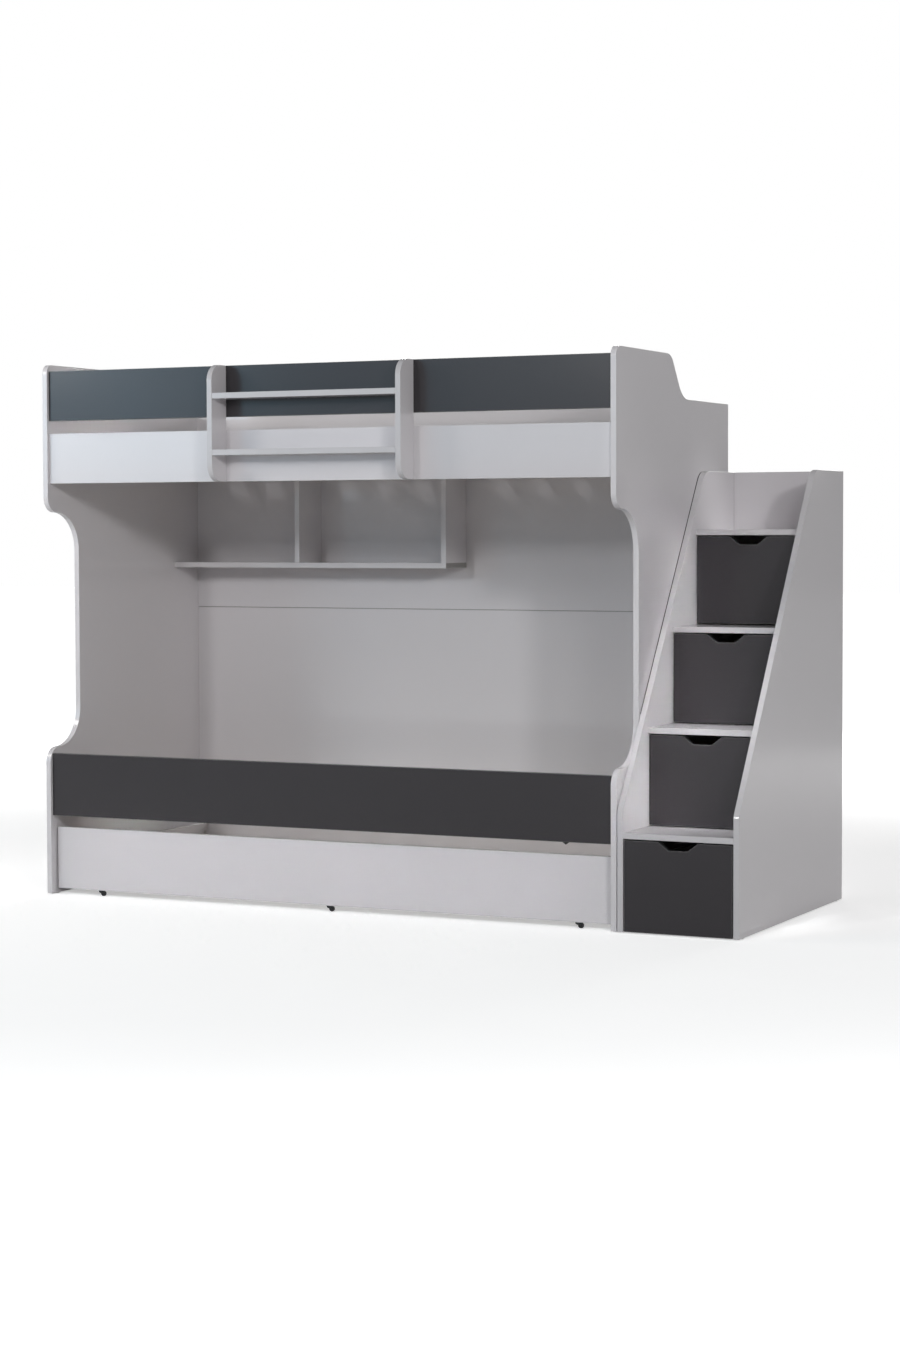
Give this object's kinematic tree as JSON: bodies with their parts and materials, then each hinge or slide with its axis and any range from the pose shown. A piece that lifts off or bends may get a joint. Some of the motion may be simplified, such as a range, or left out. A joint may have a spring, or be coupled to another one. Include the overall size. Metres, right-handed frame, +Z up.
{
  "type": "bunk bed",
  "caption": "Panel-built bunk bed with a raised guard board, a front rack, a wall shelf, a roll-out trundle on casters and a side staircase of drawers.",
  "frame": {"origin": "on the floor, under the middle of the whole part's box", "axes": "+X along the bed towards the staircase, +Y from the front to the back, +Z up"},
  "size_m": [2.428, 1.041, 1.7445],
  "materials": {
    "white_board": "satin white melamine-faced board with a matching edge band",
    "dark_board": "satin anthracite melamine-faced board",
    "pine": "planed pine, unvarnished",
    "zinc": "zinc plated",
    "runner_steel": "white powder coat",
    "black_metal": "black powder coat",
    "caster_black": "moulded black nylon",
    "wheel_black": "moulded black, slightly worn tread",
    "glide": "moulded white"
  },
  "bodies": {
    "bed": {"left_end_panel": "white_board", "right_end_panel": "white_board", "back_panel_upper": "white_board", "back_panel_lower": "white_board", "upper_guard_board": "dark_board", "upper_front_rail": "white_board", "lower_front_rail": "dark_board", "rack_left_side": "white_board", "rack_right_side": "white_board", "rack_shelves": "white_board", "wall_shelf_board": "white_board", "wall_shelf_divider": "white_board", "wall_shelf_end": "white_board", "bed_ledgers": "pine", "upper_bed_slats": "pine", "lower_bed_slats": "pine", "foot_glides": "glide", "cam_fittings": "zinc", "wood_screws": "zinc", "stair_joining_bolts": "zinc", "ledger_bracket": "black_metal", "stair_left_stringer": "white_board", "stair_right_stringer": "white_board", "stair_back_panel": "white_board", "stair_tread_1": "white_board", "stair_tread_2": "white_board", "stair_tread_3": "white_board", "stair_tread_4": "white_board", "drawer_runner_rails": "runner_steel"},
    "trundle": {"trundle_front": "white_board", "trundle_sides": "white_board", "trundle_rear_board": "white_board", "trundle_ledgers": "pine", "trundle_slats": "pine", "trundle_fittings": "zinc", "caster_sockets": "caster_black"},
    "drawer_1": {"drawer_1_front": "dark_board", "drawer_1_box": "white_board", "drawer_1_runners": "runner_steel"},
    "drawer_2": {"drawer_2_front": "dark_board", "drawer_2_box": "white_board", "drawer_2_runners": "runner_steel"},
    "drawer_3": {"drawer_3_front": "dark_board", "drawer_3_box": "white_board", "drawer_3_runners": "runner_steel"},
    "drawer_4": {"drawer_4_front": "dark_board", "drawer_4_box": "white_board", "drawer_4_runners": "runner_steel"},
    "caster_1": {"caster_fork_1": "caster_black"},
    "wheel_1": {"caster_wheel_1": "wheel_black"},
    "caster_2": {"caster_fork_2": "caster_black"},
    "wheel_2": {"caster_wheel_2": "wheel_black"},
    "caster_3": {"caster_fork_3": "caster_black"},
    "wheel_3": {"caster_wheel_3": "wheel_black"},
    "caster_4": {"caster_fork_4": "caster_black"},
    "wheel_4": {"caster_wheel_4": "wheel_black"},
    "caster_5": {"caster_fork_5": "caster_black"},
    "wheel_5": {"caster_wheel_5": "wheel_black"},
    "caster_6": {"caster_fork_6": "caster_black"},
    "wheel_6": {"caster_wheel_6": "wheel_black"}
  },
  "joints": [
    {"name": "trundle_slide", "type": "slide", "parent": "bed", "child": "trundle", "axis": [0, -1, 0], "range_m": [0, 0.9]},
    {"name": "drawer_1_slide", "type": "slide", "parent": "bed", "child": "drawer_1", "axis": [0, -1, 0], "range_m": [0, 0.45]},
    {"name": "drawer_2_slide", "type": "slide", "parent": "bed", "child": "drawer_2", "axis": [0, -1, 0], "range_m": [0, 0.45]},
    {"name": "drawer_3_slide", "type": "slide", "parent": "bed", "child": "drawer_3", "axis": [0, -1, 0], "range_m": [0, 0.375]},
    {"name": "drawer_4_slide", "type": "slide", "parent": "bed", "child": "drawer_4", "axis": [0, -1, 0], "range_m": [0, 0.225]},
    {"name": "caster_1_swivel", "type": "hinge", "parent": "trundle", "child": "caster_1", "pos_m": [-1.0305, -0.4055, 0.019], "axis": [0, 0, 1], "continuous": true},
    {"name": "wheel_1_roll", "type": "hinge", "parent": "caster_1", "child": "wheel_1", "pos_m": [-1.0164, -0.4055, 0.0092], "axis": [0, 1, 0], "continuous": true},
    {"name": "caster_2_swivel", "type": "hinge", "parent": "trundle", "child": "caster_2", "pos_m": [-0.1745, -0.4055, 0.019], "axis": [0, 0, 1], "continuous": true},
    {"name": "wheel_2_roll", "type": "hinge", "parent": "caster_2", "child": "wheel_2", "pos_m": [-0.1604, -0.4055, 0.0092], "axis": [0, 1, 0], "continuous": true},
    {"name": "caster_3_swivel", "type": "hinge", "parent": "trundle", "child": "caster_3", "pos_m": [0.6815, -0.4055, 0.019], "axis": [0, 0, 1], "continuous": true},
    {"name": "wheel_3_roll", "type": "hinge", "parent": "caster_3", "child": "wheel_3", "pos_m": [0.6956, -0.4055, 0.0092], "axis": [0, 1, 0], "continuous": true},
    {"name": "caster_4_swivel", "type": "hinge", "parent": "trundle", "child": "caster_4", "pos_m": [-1.0305, 0.4785, 0.019], "axis": [0, 0, 1], "continuous": true},
    {"name": "wheel_4_roll", "type": "hinge", "parent": "caster_4", "child": "wheel_4", "pos_m": [-1.0164, 0.4785, 0.0092], "axis": [0, 1, 0], "continuous": true},
    {"name": "caster_5_swivel", "type": "hinge", "parent": "trundle", "child": "caster_5", "pos_m": [-0.1745, 0.4785, 0.019], "axis": [0, 0, 1], "continuous": true},
    {"name": "wheel_5_roll", "type": "hinge", "parent": "caster_5", "child": "wheel_5", "pos_m": [-0.1604, 0.4785, 0.0092], "axis": [0, 1, 0], "continuous": true},
    {"name": "caster_6_swivel", "type": "hinge", "parent": "trundle", "child": "caster_6", "pos_m": [0.6815, 0.4785, 0.019], "axis": [0, 0, 1], "continuous": true},
    {"name": "wheel_6_roll", "type": "hinge", "parent": "caster_6", "child": "wheel_6", "pos_m": [0.6956, 0.4785, 0.0092], "axis": [0, 1, 0], "continuous": true}
  ]
}
